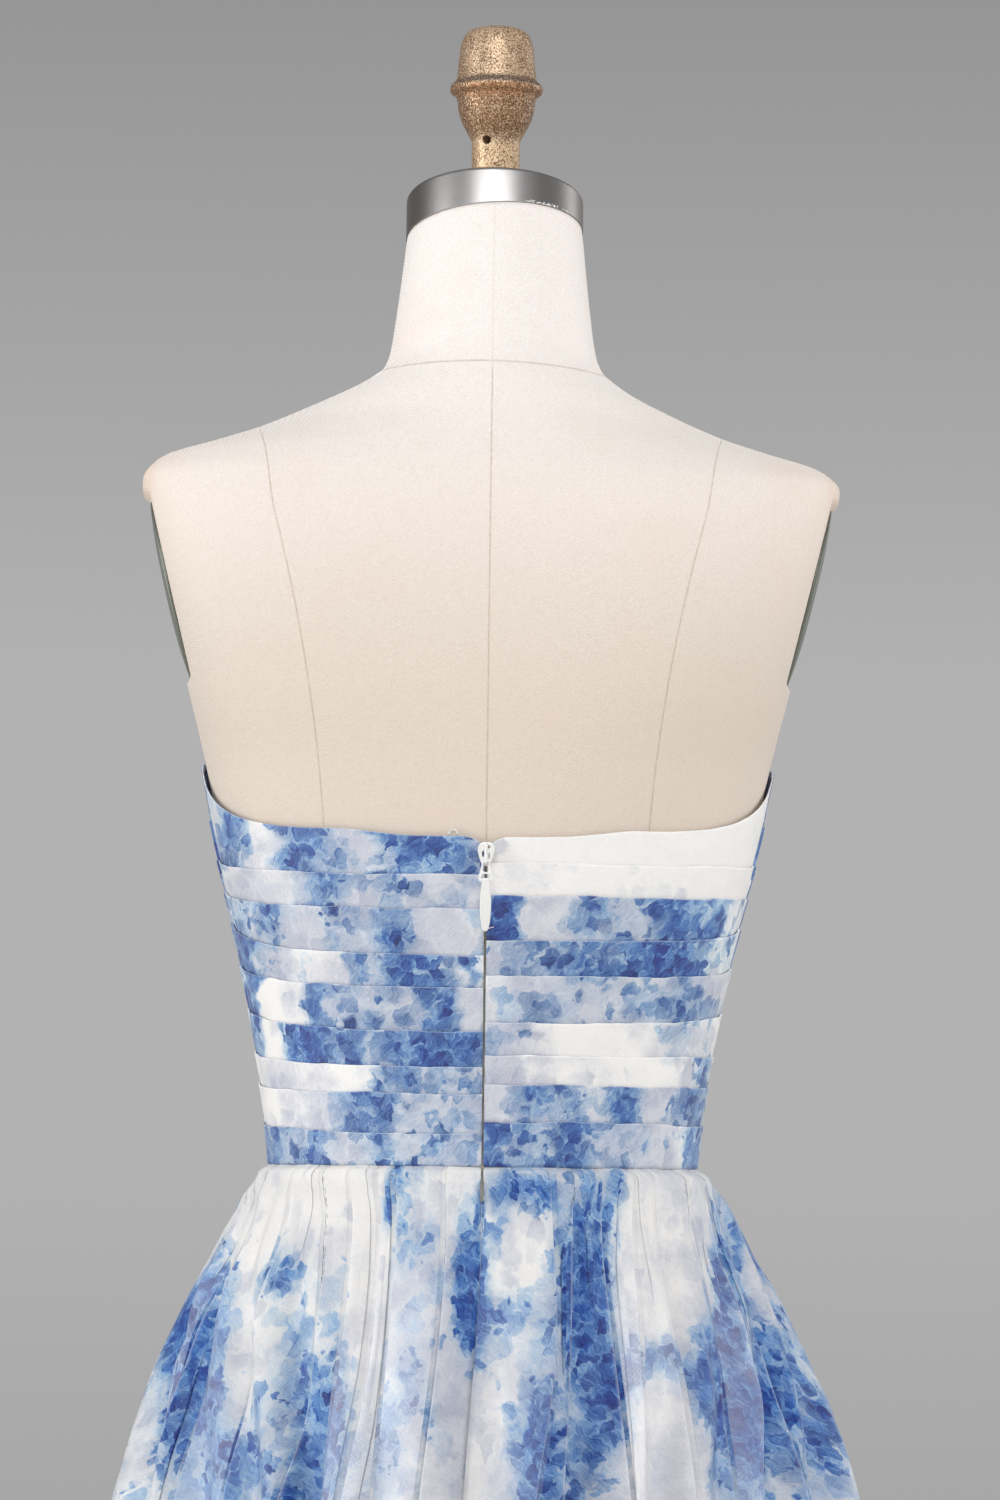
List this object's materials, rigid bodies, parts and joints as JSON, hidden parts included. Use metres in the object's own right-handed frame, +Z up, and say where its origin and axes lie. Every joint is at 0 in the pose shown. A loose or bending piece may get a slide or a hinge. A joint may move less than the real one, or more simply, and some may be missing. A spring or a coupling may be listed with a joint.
{
  "type": "strapless midi dress on a dress form",
  "caption": "Strapless midi dress with a cross-pleated bodice, back zip and gathered, lined skirt, standing on a limbless dress form with neck cap, finial, pole and round base.",
  "frame": {"origin": "on the floor, under the middle of the stand's base", "axes": "+Z up; the back of the dress with its zip faces +Y, the front faces -Y, and +X is the wearer's left"},
  "size_m": [0.6641, 0.5778, 1.6556],
  "materials": {
    "printed_chiffon": "sheer white chiffon with a blue watercolour flower print, soft sheen",
    "white_lining": "plain white satin lining",
    "zip_tape": "pale grey zip coil",
    "zip_enamel": "white enamel, smooth",
    "thread": "white thread",
    "cream_twill": "cream cotton twill, matt, lightly aged",
    "brushed_metal": "brushed round the neck, satin",
    "antique_gold": "speckled antique gold",
    "plate_metal": "dark olive grey, satin",
    "stand_enamel": "black enamel, satin"
  },
  "bodies": {
    "dress_and_form": {"form_torso": "cream_twill", "neck_cap": "brushed_metal", "finial": "antique_gold", "arm_plate_left": "plate_metal", "arm_plate_right": "plate_metal", "stand_pole": "stand_enamel", "stand_base": "stand_enamel", "bodice_front": "printed_chiffon", "bodice_back_left": "printed_chiffon", "bodice_back_right": "printed_chiffon", "skirt_front": "printed_chiffon", "skirt_back_left": "printed_chiffon", "skirt_back_right": "printed_chiffon", "skirt_lining": "white_lining", "zip_chain": "zip_tape", "zip_slider": "zip_enamel", "thread_eye": "thread"},
    "pull": {"zip_pull": "zip_enamel"}
  },
  "joints": [
    {"name": "zip_pull_swing", "type": "hinge", "parent": "dress_and_form", "child": "pull", "pos_m": [0, 0.1136, 1.199], "axis": [1, 0, 0], "range_deg": [0, 150]}
  ]
}
